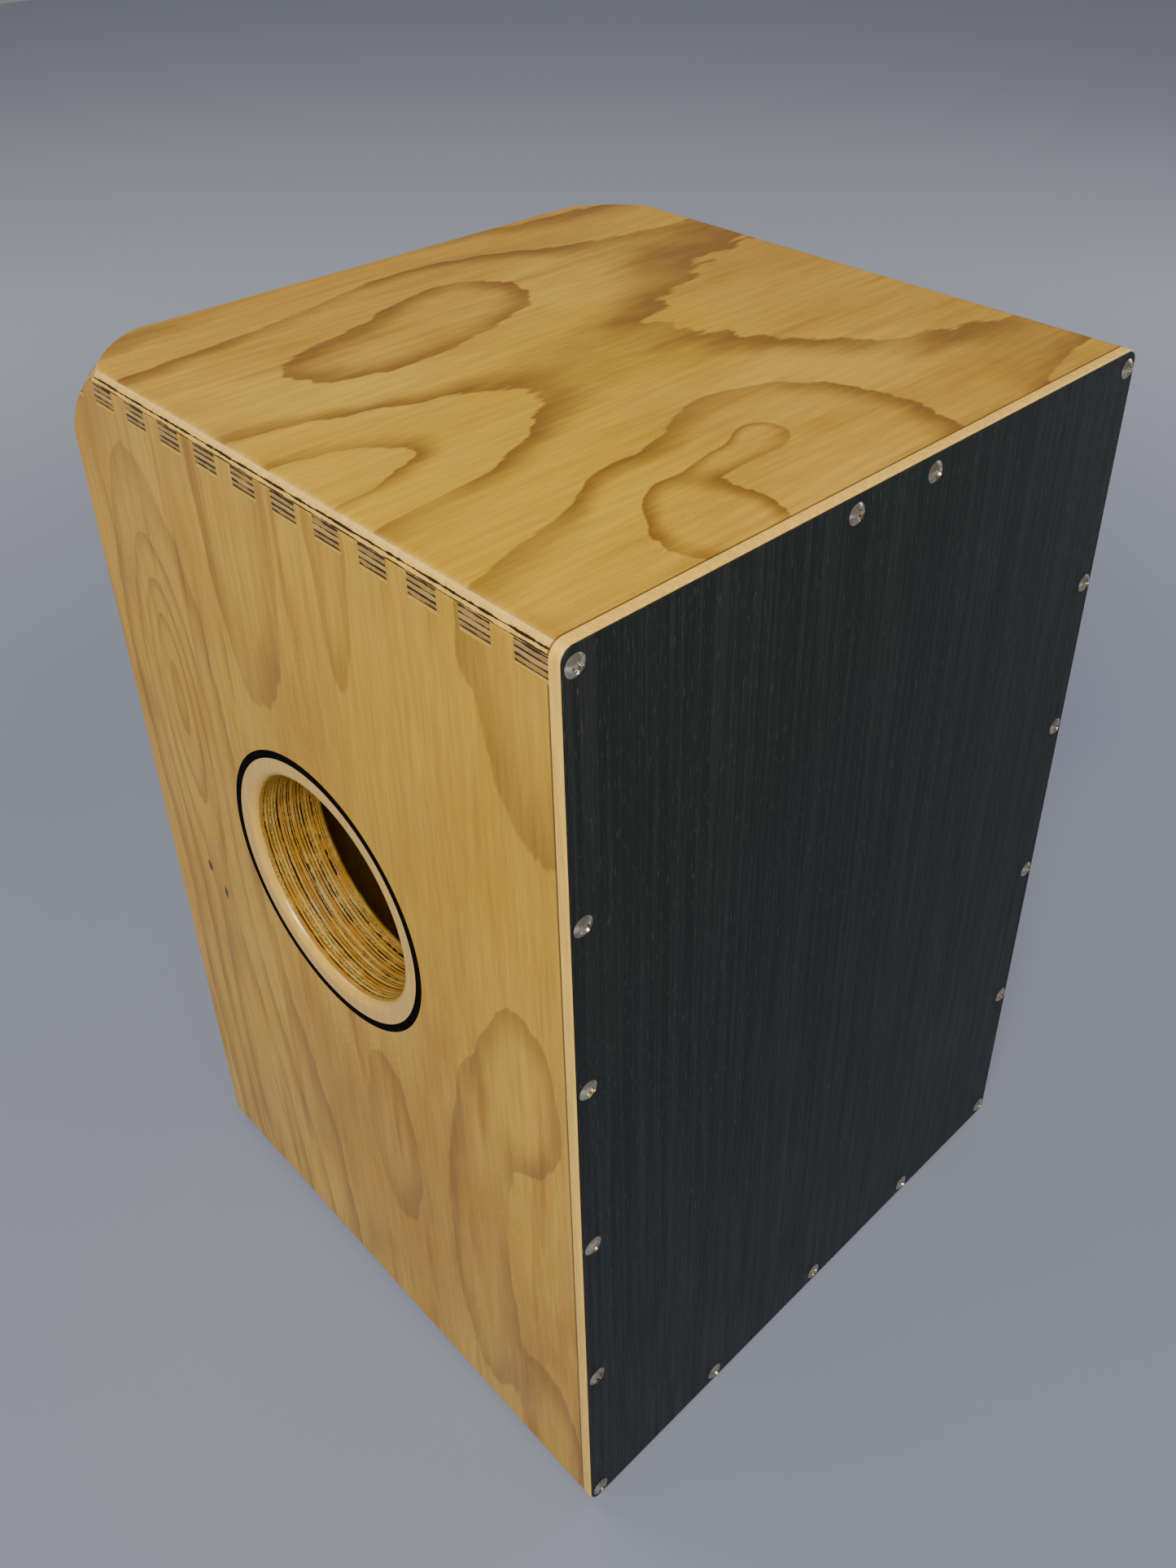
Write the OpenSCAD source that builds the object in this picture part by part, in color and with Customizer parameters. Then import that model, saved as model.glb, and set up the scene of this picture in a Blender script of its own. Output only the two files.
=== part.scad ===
// Box drum (cajon): a finger-jointed plywood box with a thin striking board screwed
// on the front, a laminated sound port in the left side and two tunable snare strings
// behind the striking board. The front faces -Y and the seat faces +Z.

/* [Box] */
// Width of the box, left to right
box_w = 320; // [300:1:340]
// Depth of the box, striking face to back
box_d = 312; // [290:1:330]
// Height of the box, underside to seat
box_h = 480; // [460:1:500]
// Thickness of the side and bottom walls
wall_t = 12; // [11:0.5:13]
// Thickness of the top panel that carries the finger joints
top_t = 10; // [9:0.5:12]
// Thickness of the seat sheet glued over the top panel
seat_t = 4.5; // [3:0.5:5]
// Thickness of the back panel
back_t = 6; // [5:0.5:8]
// Radius along the long outer edges
edge_r = 6; // [4:0.5:8]
// Radius along the back edges
back_edge_r = 3; // [2:0.5:4]
// Radius of the arcs that the back seat corners are rounded to
corner_r = 60; // [50:1:64]
// Width of one finger of the top panel
finger_w = 15; // [12:0.5:18]
// Distance from one finger to the next
finger_pitch = 26; // [24:0.5:28]

/* [Striking board] */
// Thickness of the light plywood core of the board
core_t = 4.4; // [3:0.1:6]
// Thickness of the dark face veneer
face_t = 0.6; // [0.5:0.1:1]
// Diameter of a board screw's head
screw_head_d = 8.6; // [7:0.1:10]
// How far a board screw's head stands proud
screw_head_h = 1.6; // [1.2:0.1:2.2]
// Diameter of a board screw's shank
screw_shank_d = 3.4; // [3:0.1:4]
// Length of a board screw under its head
screw_l = 22; // [16:1:30]

/* [Sound port] */
// Diameter of the port opening
port_d = 108; // [90:1:120]
// Width of the light wood ring round the opening
port_ring_w = 9.5; // [8:0.5:12]
// Width of the black inlay round the light ring
inlay_w = 2.5; // [2:0.5:4]
// Height of the port's centre above the underside of the box
port_z = 280; // [240:1:300]
// Radius of the port's rounded lips
lip_r = 4; // [3:0.5:5]

/* [Feet] */
// Diameter of a foot
foot_d = 30; // [24:1:36]
// Height of a foot
foot_h = 4; // [3:0.5:6]
// Distance of a foot's centre from the outer faces
foot_inset = 38; // [32:1:50]

/* [Snare strings] */
// Diameter of a string
string_d = 0.7; // [0.6:0.1:1]
// Distance of a tuner's post from the middle of the box
tuner_x = 60; // [50:1:80]
// Height of the tuner posts above the underside of the box
tuner_z = 85; // [75:1:120]
// Diameter of a tuner post
post_d = 6; // [5.8:0.1:6.2]
// Teeth on a tuner's gear, which are also turns of its key per turn of the post
gear_teeth = 14; // [14:1:14]

/* [Hidden] */
$fn = 96;
eps = 0.01;

left = -1;
right = 1;
sides = [left, right];

// Outer planes of the box; the screw heads share the depth evenly with the back.
y_face = -(box_d - screw_head_h) / 2;
y_back = y_face + box_d;
y_core = y_face + face_t;
y_body = y_core + core_t;
z_base = foot_h;
z_seat = z_base + box_h;
z_joint = z_seat - seat_t;
z_under = z_joint - top_t;
x_wall = box_w / 2 - wall_t;
y_inner = y_back - back_t;
body_d = y_back - y_body;

// Rounded back corners: a ball whose centre lies this far in from the three faces.
corner_in = corner_r - 2;
corner_ball_r = sqrt(corner_r * corner_r + corner_in * corner_in);

// Rebate that the back panel sits in.
rebate = wall_t / 2;
top_rebate = top_t / 2;

// Screws of the striking board: heights up the sides, and places along top and bottom.
side_screw_z = [7, 101, 195, 288, 369, 472];
top_screw_x = [-25, 20];
bottom_screw_x = [-76, 1, 78];
screw_x = (box_w - wall_t) / 2;
tapa_screw_places = concat(
    [for (s = sides) for (z = side_screw_z) [s * screw_x, z]],
    [for (x = top_screw_x) [x, side_screw_z[5]]],
    [for (x = bottom_screw_x) [x, side_screw_z[0]]]
);
tapa_hole_d = screw_shank_d + 0.4;
recess_w = 1.1;
recess_l = 4.6;
recess_depth = 1;

// Sound port.
port_y = (y_face + y_back) / 2 + 3;
port_h = z_base + port_z;
port_r = port_d / 2;
ring_r = port_r + port_ring_w;
inlay_r = ring_r + inlay_w;
inlay_t = 2;
backing_r = port_r + 22;
backing_t = 12;

// Glue blocks.
fillet_w = 15;
back_fillet_w = 12;
block_w = 36;
fillet_gap = 2;

// Feet.
foot_x = box_w / 2 - foot_inset;
foot_places = [[left, y_face + foot_inset], [right, y_face + foot_inset],
               [left, y_back - foot_inset], [right, y_back - foot_inset]];
foot_chamfer = 1;
foot_screw_d = 3.2;
foot_screw_head_d = 7;
foot_screw_head_h = 1.6;
foot_screw_recess = 1;
foot_screw_l = 12;
foot_counterbore_d = 8;

// Tuner beam.
beam_gap = 11;
beam_d = 18;
beam_h = 30;
beam_front = y_body + beam_gap;
beam_back = beam_front + beam_d;
post_z = z_base + tuner_z;
cleat_w = 20;
cleat_d = 18;

// String rail under the top panel: a nose that holds the strings to the board.
rail_w = 190;
rail_h = 30;
rail_d = 16;
rail_front = y_body + string_d + 0.1;
rail_nose_h = 14;
rail_step = 6.4;
rail_z = z_under - rail_h;
hitch_z = rail_z + 22;
hitch_d = 2;
hitch_head_d = 6;
hitch_head_h = 1.4;
hitch_l = 14;
ball_d = 4.6;
ball_l = 3.6;
ball_hole_d = 2.2;
ball_waist = 0.5;

// Tuner: a post that a worm turns through a gear.
fit_gap = 0.05;
running_gap = 0.3;
plate_t = 1.2;
plate_y = beam_back + plate_t;
gear_t = 3.5;
gear_lift = 2.2;
gear_y = plate_y + gear_lift;
gear_mid_y = gear_y + gear_t / 2;
gear_pitch_r = 6;
tooth_depth = 0.55;
mesh_gap = 0.35;
gear_bore_d = 4;
gear_twist = 4.3;
worm_pitch_r = 3.1;
worm_x = gear_pitch_r + worm_pitch_r;
worm_lead = 2 * PI * gear_pitch_r / gear_teeth;
worm_l = 11;
journal_d = 3;
ear_z = 7;
ear_w = 9;
ear_reach = gear_mid_y - plate_y + 4;
key_z = 27;
key_d = 16;
key_t = 7;
key_dish_y = 11;
key_socket_l = 7;
post_front = y_body + 2.2;
winding_turns = 4;
winding_pitch = string_d + 0.05;
winding_y = post_front + 1.2;
winding_r = (post_d + string_d) / 2;
tuner_screw_d = 2.2;
tuner_screw_head_d = 4.4;
tuner_screw_head_h = 1.3;
tuner_screw_l = 10;
tuner_screw_z = 10.5;
tuner_screw_x = -3;
string_x = tuner_x + winding_r;
string_start_z = 2.9;

pine = "burlywood";
ply = "wheat";
stained = [0.05, 0.05, 0.05];
steel = "silver";
brass = [0.8, 0.65, 0.3];

// ---- outer form of the box ----

module rounded_rect(w, h, r) {
    square([w - 2 * r, h], center = true);
    square([w, h - 2 * r], center = true);
    for (x = sides, y = sides)
        translate([x * (w / 2 - r), y * (h / 2 - r)]) circle(r = r);
}

// Front view of the box, run from front to back.
module front_form(y0, y1) {
    translate([0, y1, z_base + box_h / 2]) rotate([90, 0, 0])
        linear_extrude(y1 - y0) rounded_rect(box_w, box_h, edge_r);
}

// What rounds off a straight edge along Z whose corner lies at the origin.
module edge_waste(r, l) {
    difference() {
        translate([-r, -r, 0]) cube([r + 1, r + 1, l]);
        translate([-r, -r, -1]) cylinder(r = r, h = l + 2);
    }
}

// Rounding of the upright back edges and of the seat's back edge.
module back_edge_wastes() {
    for (m = [0, 1])
        mirror([m, 0, 0]) translate([box_w / 2, y_back, z_base - 1])
            edge_waste(back_edge_r, box_h + 2);
    translate([box_w / 2 + 1, y_back, z_seat]) rotate([0, -90, 0])
        edge_waste(back_edge_r, box_w + 2);
}

// What the rounding takes off each back corner of the seat.
module corner_wastes() {
    for (m = [0, 1])
        mirror([m, 0, 0])
            difference() {
                translate([box_w / 2 - corner_in, y_back - corner_in, z_seat - corner_in])
                    cube(corner_in + 1);
                translate([box_w / 2 - corner_in, y_back - corner_in, z_seat - corner_in])
                    sphere(r = corner_ball_r, $fn = 180);
            }
}

module shaped(y0, y1) {
    difference() {
        intersection() {
            front_form(y0, y1);
            children();
        }
        corner_wastes();
        back_edge_wastes();
    }
}

// Round bar from the front backwards at each board screw.
module tapa_screw_holes(d) {
    for (p = tapa_screw_places)
        translate([p[0], y_face - 1, z_base + p[1]]) rotate([-90, 0, 0])
            cylinder(d = d, h = screw_l + 1.5, $fn = 32);
}

module foot_screw_holes(d) {
    for (p = foot_places)
        translate([p[0] * foot_x, p[1], foot_screw_recess])
            cylinder(d = d, h = foot_screw_head_h + foot_screw_l + 0.5, $fn = 32);
}

// ---- carcass ----

function finger_y(i) = y_body + i * finger_pitch;
finger_count = floor((body_d - finger_w) / finger_pitch) + 1;

module top_fingers(s) {
    for (i = [0:finger_count - 1])
        translate([s > 0 ? x_wall - eps : -box_w / 2 - 1, finger_y(i) - (i == 0 ? 1 : 0), z_under])
            cube([wall_t + 1 + eps, finger_w + (i == 0 ? 1 : 0), top_t + 1]);
}

module side_wall(s) {
    shaped(y_body, y_back)
        difference() {
            translate([s > 0 ? x_wall : -box_w / 2, y_body, z_base])
                cube([wall_t, body_d, box_h - seat_t]);
            top_fingers(s);
            translate([s > 0 ? x_wall - 1 : -x_wall - rebate, y_inner, z_base + rebate])
                cube([rebate + 1, back_t + 1, z_under + top_rebate - z_base - rebate]);
            tapa_screw_holes(screw_shank_d);
        }
}

module left_side() {
    color(pine) difference() {
        side_wall(left);
        translate([-box_w / 2 - 1, port_y, port_h]) rotate([0, 90, 0])
            cylinder(r = ring_r, h = wall_t + 2, $fn = 180);
        translate([-box_w / 2 - 1, port_y, port_h]) rotate([0, 90, 0])
            cylinder(r = inlay_r, h = inlay_t + 1, $fn = 180);
    }
}

module right_side() {
    color(pine) side_wall(right);
}

module top_panel() {
    color(ply) shaped(y_body, y_back)
        difference() {
            union() {
                translate([-x_wall, y_body, z_under]) cube([2 * x_wall, body_d, top_t]);
                intersection() {
                    translate([-box_w / 2, y_body, z_under]) cube([box_w, body_d, top_t]);
                    union() {
                        top_fingers(left);
                        top_fingers(right);
                    }
                }
            }
            translate([-x_wall - rebate, y_inner, z_under - 1])
                cube([2 * (x_wall + rebate), back_t + 1, top_rebate + 1]);
            tapa_screw_holes(screw_shank_d);
        }
}

module seat_sheet() {
    color(pine) shaped(y_body, y_back)
        translate([-box_w / 2, y_body, z_joint]) cube([box_w, body_d, seat_t]);
}

module bottom_panel() {
    color(ply) difference() {
        translate([-x_wall, y_body, z_base]) cube([2 * x_wall, body_d, wall_t]);
        translate([-x_wall - 1, y_inner, z_base + rebate])
            cube([2 * x_wall + 2, back_t + 1, rebate + 1]);
        tapa_screw_holes(screw_shank_d);
        foot_screw_holes(foot_screw_d);
    }
}

module back_panel() {
    color(ply) difference() {
        translate([-x_wall - rebate, y_inner, z_base + rebate])
            cube([2 * (x_wall + rebate), back_t, z_under + top_rebate - z_base - rebate]);
        corner_wastes();
    }
}

// ---- striking board ----

module tapa_core() {
    color(ply) difference() {
        front_form(y_core, y_body);
        tapa_screw_holes(tapa_hole_d);
    }
}

module tapa_face() {
    color(stained) difference() {
        front_form(y_face, y_core);
        tapa_screw_holes(tapa_hole_d);
    }
}

// Domed cross-head screw; its head rests on the board and its shank points along +Y.
module dome_screw(head_d, head_h, shank_d, shank_l, cross_l, cross_w, cross_depth) {
    dome_r = (head_d * head_d / 4 + head_h * head_h) / (2 * head_h);
    difference() {
        intersection() {
            translate([0, dome_r - head_h, 0]) sphere(r = dome_r);
            rotate([90, 0, 0]) cylinder(d = head_d, h = head_h);
        }
        for (a = [0, 90])
            rotate([0, a, 0])
                translate([-cross_l / 2, -head_h - 1, -cross_w / 2])
                    cube([cross_l, cross_depth + 1, cross_w]);
    }
    rotate([-90, 0, 0]) cylinder(d = shank_d, h = shank_l - shank_d / 2, $fn = 32);
    translate([0, shank_l - shank_d / 2, 0]) rotate([-90, 0, 0])
        cylinder(d1 = shank_d, d2 = 0.4, h = shank_d / 2, $fn = 32);
}

module tapa_screws() {
    color(steel) for (i = [0:len(tapa_screw_places) - 1])
        translate([tapa_screw_places[i][0], y_face, z_base + tapa_screw_places[i][1]])
            rotate([0, 37 * i, 0])
                dome_screw(screw_head_d, screw_head_h, screw_shank_d, screw_l,
                           recess_l, recess_w, recess_depth);
}

// ---- sound port: rings built along +Z, then turned to face the left ----

module at_port(depth) {
    translate([-box_w / 2 + depth, port_y, port_h]) rotate([0, 90, 0]) children();
}

// A flat ring with a rounded inner lip at its start, at its end or at neither.
module lipped_ring(r_in, r_out, t, lip_start, lip_end) {
    rotate_extrude($fn = 180) difference() {
        translate([r_in, 0]) square([r_out - r_in, t]);
        if (lip_start)
            difference() {
                translate([r_in - 1, -1]) square(lip_r + 1);
                translate([r_in + lip_r, lip_r]) circle(r = lip_r);
            }
        if (lip_end)
            difference() {
                translate([r_in - 1, t - lip_r]) square(lip_r + 1);
                translate([r_in + lip_r, t - lip_r]) circle(r = lip_r);
            }
    }
}

module port_ring() {
    color(ply) at_port(0) lipped_ring(port_r, ring_r, wall_t, true, false);
}

module port_inlay() {
    color(stained) at_port(0) lipped_ring(ring_r, inlay_r, inlay_t, false, false);
}

module port_backing_front() {
    color(ply) at_port(wall_t) lipped_ring(port_r, backing_r, backing_t, false, false);
}

module port_backing_rear() {
    color(ply) at_port(wall_t + backing_t) lipped_ring(port_r, backing_r, backing_t, false, true);
}

// ---- glue blocks inside ----

// Three-sided strip in the corner of the origin, run along +Z.
module glue_strip(w, l) {
    linear_extrude(l) polygon([[0, 0], [w, 0], [0, w]]);
}

module top_fillet(s) {
    color(ply) mirror([s > 0 ? 1 : 0, 0, 0])
        translate([-x_wall, y_body + fillet_gap, z_under]) rotate([-90, 0, 0])
            glue_strip(fillet_w, body_d - back_t - block_w - fillet_gap);
}

module bottom_fillet(s) {
    color(ply) mirror([s > 0 ? 1 : 0, 0, 0])
        translate([-x_wall, y_inner - back_fillet_w, z_base + wall_t]) rotate([90, 0, 0])
            glue_strip(fillet_w, body_d - back_t - back_fillet_w - fillet_gap);
}

module back_fillet(s) {
    color(ply) mirror([s > 0 ? 1 : 0, 0, 0])
        translate([-x_wall, y_inner, z_base + wall_t]) rotate([0, 0, -90])
            glue_strip(back_fillet_w, z_under - block_w - z_base - wall_t);
}

// Block behind a rounded seat corner, with its inner edge cut off.
module corner_block(s) {
    color(ply) mirror([s > 0 ? 1 : 0, 0, 0])
        translate([-x_wall, y_inner, z_under - block_w])
            linear_extrude(block_w)
                polygon([[0, 0], [block_w, 0], [block_w, -block_w / 2],
                         [block_w / 2, -block_w], [0, -block_w]]);
}

// ---- feet ----

module foot(i) {
    r = foot_d / 2;
    color("dimgray") translate([foot_places[i][0] * foot_x, foot_places[i][1], 0])
        difference() {
            rotate_extrude() polygon([[0, 0], [r - foot_chamfer, 0], [r, foot_chamfer],
                                      [r, foot_h], [0, foot_h]]);
            translate([0, 0, -1]) cylinder(d = foot_screw_d, h = foot_h + 2, $fn = 32);
            translate([0, 0, -1])
                cylinder(d = foot_counterbore_d, h = 1 + foot_screw_recess + foot_screw_head_h);
        }
}

module foot_screws() {
    color(steel) for (p = foot_places)
        translate([p[0] * foot_x, p[1], foot_screw_recess + foot_screw_head_h])
            rotate([90, 0, 0])
                dome_screw(foot_screw_head_d, foot_screw_head_h, foot_screw_d, foot_screw_l,
                           recess_l * 0.8, recess_w, recess_depth);
}

// ---- strings and what carries them ----

module tuner_screw_holes() {
    for (s = sides, z = sides)
        translate([s * (tuner_x + tuner_screw_x), beam_back + plate_t + 1, post_z + z * tuner_screw_z])
            rotate([90, 0, 0])
                cylinder(d = tuner_screw_d, h = tuner_screw_l + plate_t + 1, $fn = 32);
}

module string_beam() {
    color(pine) difference() {
        translate([-x_wall, beam_front, post_z - beam_h / 2]) cube([2 * x_wall, beam_d, beam_h]);
        for (s = sides)
            translate([s * tuner_x, beam_front - 1, post_z]) rotate([-90, 0, 0])
                cylinder(d = post_d + 2 * fit_gap, h = beam_d + 2);
        tuner_screw_holes();
    }
}

module beam_cleat(s) {
    color(ply) translate([s > 0 ? x_wall - cleat_w : -x_wall, beam_back, post_z - beam_h / 2])
        cube([cleat_w, cleat_d, beam_h]);
}

module string_rail() {
    color(pine) difference() {
        translate([-rail_w / 2, rail_front, rail_z]) cube([rail_w, rail_d, rail_h]);
        translate([-rail_w / 2 - 1, rail_front - 1, rail_z + rail_nose_h])
            cube([rail_w + 2, rail_step + 1, rail_h]);
        for (s = sides)
            translate([s * string_x, rail_front, hitch_z]) rotate([-90, 0, 0])
                cylinder(d = hitch_d, h = rail_step - ball_l + hitch_l, $fn = 32);
    }
}

module hitch_screws() {
    color(steel) for (s = sides)
        translate([s * string_x, rail_front + rail_step - ball_l - 0.2, hitch_z])
            dome_screw(hitch_head_d, hitch_head_h, hitch_d, hitch_l - hitch_head_h, 3.4, 0.8, 0.7);
}

// Grooved barrels at the strings' upper ends, slipped over the hitch screws.
module ball_ends() {
    color(brass) for (s = sides)
        translate([s * string_x, rail_front + rail_step - ball_l - 0.1, hitch_z])
            rotate([-90, 0, 0])
                rotate_extrude($fn = 64) difference() {
                    translate([ball_hole_d / 2, 0]) square([(ball_d - ball_hole_d) / 2, ball_l]);
                    translate([ball_d / 2 + ball_waist, ball_l / 2]) circle(r = 2 * ball_waist);
                }
}

// Round bar between two points that share an x.
module wire(x, y0, z0, y1, z1) {
    l = sqrt((y1 - y0) * (y1 - y0) + (z1 - z0) * (z1 - z0));
    translate([x, y0, z0]) rotate([-atan2(y1 - y0, z1 - z0), 0, 0])
        cylinder(d = string_d, h = l, $fn = 16);
    translate([x, y1, z1]) sphere(d = string_d + 0.02, $fn = 16);
}

module string(s) {
    y_touch = y_body + string_d / 2 + 0.05;
    y_ball = rail_front + rail_step - ball_l / 2 - 0.1;
    color(steel) {
        wire(s * string_x, winding_y, post_z + string_start_z, y_touch, rail_z + 1);
        wire(s * string_x, y_touch, rail_z + 1, y_touch, rail_z + rail_nose_h);
        wire(s * string_x, y_touch, rail_z + rail_nose_h, y_ball, hitch_z - ball_d / 2);
    }
}

// ---- tuners, drawn for the right side and mirrored for the left ----

module tuner(s) {
    mirror([s > 0 ? 0 : 1, 0, 0]) translate([tuner_x, 0, post_z]) children();
}

module tuner_ear(z) {
    difference() {
        translate([worm_x - ear_w / 2, beam_back, z]) cube([ear_w, ear_reach + plate_t, plate_t]);
        translate([worm_x, gear_mid_y, z - 1])
            cylinder(d = journal_d + 2 * fit_gap, h = plate_t + 2, $fn = 48);
    }
}

module tuner_plate(s) {
    plate_x0 = -8;
    plate_x1 = worm_x + ear_w / 2;
    plate_half_h = 14;
    color(steel) tuner(s) {
        difference() {
            translate([plate_x0, beam_back, -plate_half_h])
                cube([plate_x1 - plate_x0, plate_t, 2 * plate_half_h]);
            translate([0, beam_back - 1, 0]) rotate([-90, 0, 0])
                cylinder(d = post_d + 2 * fit_gap, h = plate_t + 2);
            for (z = sides)
                translate([tuner_screw_x, beam_back - 1, z * tuner_screw_z]) rotate([-90, 0, 0])
                    cylinder(d = tuner_screw_d, h = plate_t + 2, $fn = 32);
        }
        tuner_ear(ear_z);
        tuner_ear(-ear_z - plate_t);
    }
}

module tuner_screws() {
    color(steel) for (s = sides) tuner(s)
        for (z = sides)
            translate([tuner_screw_x, plate_y, z * tuner_screw_z]) rotate([0, 0, 180])
                dome_screw(tuner_screw_head_d, tuner_screw_head_h, tuner_screw_d,
                           tuner_screw_l, 2.6, 0.6, 0.7);
}

module tuner_post(s) {
    string_hole_d = 1.4;
    color(steel) tuner(s) difference() {
        union() {
            translate([0, post_front, 0]) rotate([-90, 0, 0])
                cylinder(d = post_d, h = gear_y - post_front);
            translate([0, gear_y - eps, 0]) rotate([-90, 0, 0])
                cylinder(d = gear_bore_d, h = gear_t);
        }
        translate([0, winding_y - 0.6, -post_d]) cylinder(d = string_hole_d, h = 2 * post_d, $fn = 32);
        translate([0, gear_y - 4, 0]) rotate([-90, 0, 0])
            cylinder(d = tuner_screw_d, h = 10, $fn = 32);
    }
}

// Outline of the wheel that the worm drives: a wave of shallow rounded teeth.
function gear_r(a) = gear_pitch_r - mesh_gap + tooth_depth * cos(gear_teeth * a + 180);

module tuner_gear(s) {
    points = gear_teeth * 10;
    color(brass) tuner(s) difference() {
        translate([0, gear_y, 0]) rotate([-90, 0, 0])
            linear_extrude(gear_t, twist = gear_twist, slices = 4)
                rotate(gear_twist / 2)
                    polygon([for (i = [0:points - 1])
                        let (a = 360 * i / points) gear_r(a) * [cos(a), sin(a)]]);
        translate([0, gear_y - 1, 0]) rotate([-90, 0, 0])
            cylinder(d = gear_bore_d, h = gear_t + 2);
    }
}

module gear_screw(s) {
    color(steel) tuner(s)
        translate([0, gear_y + gear_t, 0]) rotate([0, 0, 180])
            dome_screw(6, 1.4, tuner_screw_d, gear_t + 2, 3.4, 0.8, 0.7);
}

module string_winding(s) {
    color(steel) tuner(s)
        for (i = [0:winding_turns - 1])
            translate([0, winding_y + i * winding_pitch, 0]) rotate([-90, 0, 0])
                rotate_extrude($fn = 64) translate([winding_r, 0]) circle(d = string_d, $fn = 16);
}

// A worm whose thread is an off-centre round bar, twisted once per lead.
module tuner_worm(s) {
    color(steel) tuner(s) translate([worm_x, gear_mid_y, 0]) {
        translate([0, 0, -worm_l / 2])
            linear_extrude(worm_l, twist = -360 * worm_l / worm_lead, slices = 64, $fn = 18)
                rotate(180 - 180 * worm_l / worm_lead)
                    translate([tooth_depth, 0]) circle(r = worm_pitch_r - tooth_depth / 4);
        translate([0, 0, -ear_z - plate_t - 2])
            cylinder(d = journal_d, h = ear_z + plate_t + 2 + key_z - key_d / 2 + key_socket_l, $fn = 48);
        translate([0, 0, -ear_z - plate_t - 2 - 1]) cylinder(d = journal_d + 1.6, h = 2 - running_gap, $fn = 48);
    }
}

// Flat round button that the fingers turn.
module tuner_key(s) {
    collar_d = 6;
    color("ivory") tuner(s) translate([worm_x, gear_mid_y, key_z])
        difference() {
            union() {
                intersection() {
                    rotate([90, 0, 0]) cylinder(d = key_d, h = key_t, center = true);
                    sphere(d = key_d + 1);
                    rotate([90, 0, 0]) intersection_for (a = sides)
                        translate([0, 0, a * key_dish_y]) sphere(r = key_dish_y + key_t / 2);
                }
                translate([0, 0, -key_d / 2 - 1]) cylinder(d = collar_d, h = 4);
            }
            translate([0, 0, -key_d / 2 - 2]) cylinder(d = journal_d, h = 2 + key_socket_l, $fn = 48);
        }
}

left_side();
right_side();
top_panel();
seat_sheet();
bottom_panel();
back_panel();
tapa_core();
tapa_face();
tapa_screws();
port_ring();
port_inlay();
port_backing_front();
port_backing_rear();
top_fillet(left);  // top_fillet_left
top_fillet(right);  // top_fillet_right
bottom_fillet(left);  // bottom_fillet_left
bottom_fillet(right);  // bottom_fillet_right
back_fillet(left);  // back_fillet_left
back_fillet(right);  // back_fillet_right
corner_block(left);  // corner_block_left
corner_block(right);  // corner_block_right
foot(0);  // foot_front_left
foot(1);  // foot_front_right
foot(2);  // foot_rear_left
foot(3);  // foot_rear_right
foot_screws();
string_beam();
beam_cleat(left);  // beam_cleat_left
beam_cleat(right);  // beam_cleat_right
string_rail();
hitch_screws();
ball_ends();
string(left);  // string_left
string(right);  // string_right
tuner_plate(left);  // tuner_plate_left
tuner_plate(right);  // tuner_plate_right
tuner_screws();
tuner_post(left);  // tuner_post_left
tuner_post(right);  // tuner_post_right
tuner_gear(left);  // tuner_gear_left
tuner_gear(right);  // tuner_gear_right
gear_screw(left);  // gear_screw_left
gear_screw(right);  // gear_screw_right
string_winding(left);  // string_winding_left
string_winding(right);  // string_winding_right
tuner_worm(left);  // tuner_worm_left
tuner_worm(right);  // tuner_worm_right
tuner_key(left);  // tuner_key_left
tuner_key(right);  // tuner_key_right
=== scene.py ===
import math

import bmesh
import bpy
from mathutils import Euler, Matrix, Vector


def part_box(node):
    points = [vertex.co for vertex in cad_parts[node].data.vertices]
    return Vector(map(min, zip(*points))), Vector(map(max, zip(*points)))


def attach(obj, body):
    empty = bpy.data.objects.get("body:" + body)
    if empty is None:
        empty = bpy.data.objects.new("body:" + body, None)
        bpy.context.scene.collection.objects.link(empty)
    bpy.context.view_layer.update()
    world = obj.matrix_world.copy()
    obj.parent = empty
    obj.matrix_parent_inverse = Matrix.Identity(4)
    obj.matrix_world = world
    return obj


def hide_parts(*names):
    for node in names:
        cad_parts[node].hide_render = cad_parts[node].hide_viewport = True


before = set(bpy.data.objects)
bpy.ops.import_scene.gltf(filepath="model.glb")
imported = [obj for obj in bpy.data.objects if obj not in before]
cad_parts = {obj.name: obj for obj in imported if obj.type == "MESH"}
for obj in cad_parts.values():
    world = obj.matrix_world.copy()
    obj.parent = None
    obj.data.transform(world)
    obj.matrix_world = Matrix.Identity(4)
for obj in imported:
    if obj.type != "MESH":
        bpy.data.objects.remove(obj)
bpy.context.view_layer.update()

MM = 0.001

# ---- sizes taken from the frame, in metres ----

seat_low, seat_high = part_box("seat_sheet")
face_low, face_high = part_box("tapa_face")
core_low, core_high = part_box("tapa_core")
ring_low, ring_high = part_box("port_ring")

BOX_W = core_high.x - core_low.x
Y_CORE = core_low.y
Y_BODY = core_high.y
Y_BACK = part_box("left_side")[1].y
Z_BASE = core_low.z
Z_SEAT = seat_high.z
Z_JOINT = seat_low.z

# ---- sizes of the finer pieces ----

EDGE_R = 6 * MM
CORE_ARRIS = 0.9 * MM
FACE_INSET = 0.7 * MM
FACE_ARRIS = 0.25 * MM
INLAY_LAP = 1.2 * MM
INLAY_PROUD = 0.1 * MM
FLOOR_REACH = 4.0

# ---- ways across a piece: an axis, its sign, and where it starts ----

ALONG_X = ("X", 1, 0)
ALONG_Y = ("Y", 1, 0)
ALONG_Z = ("Z", 1, 0)
FROM_LEFT = ("X", 1, -BOX_W / 2)


# ---- wiring of shader nodes ----

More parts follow.
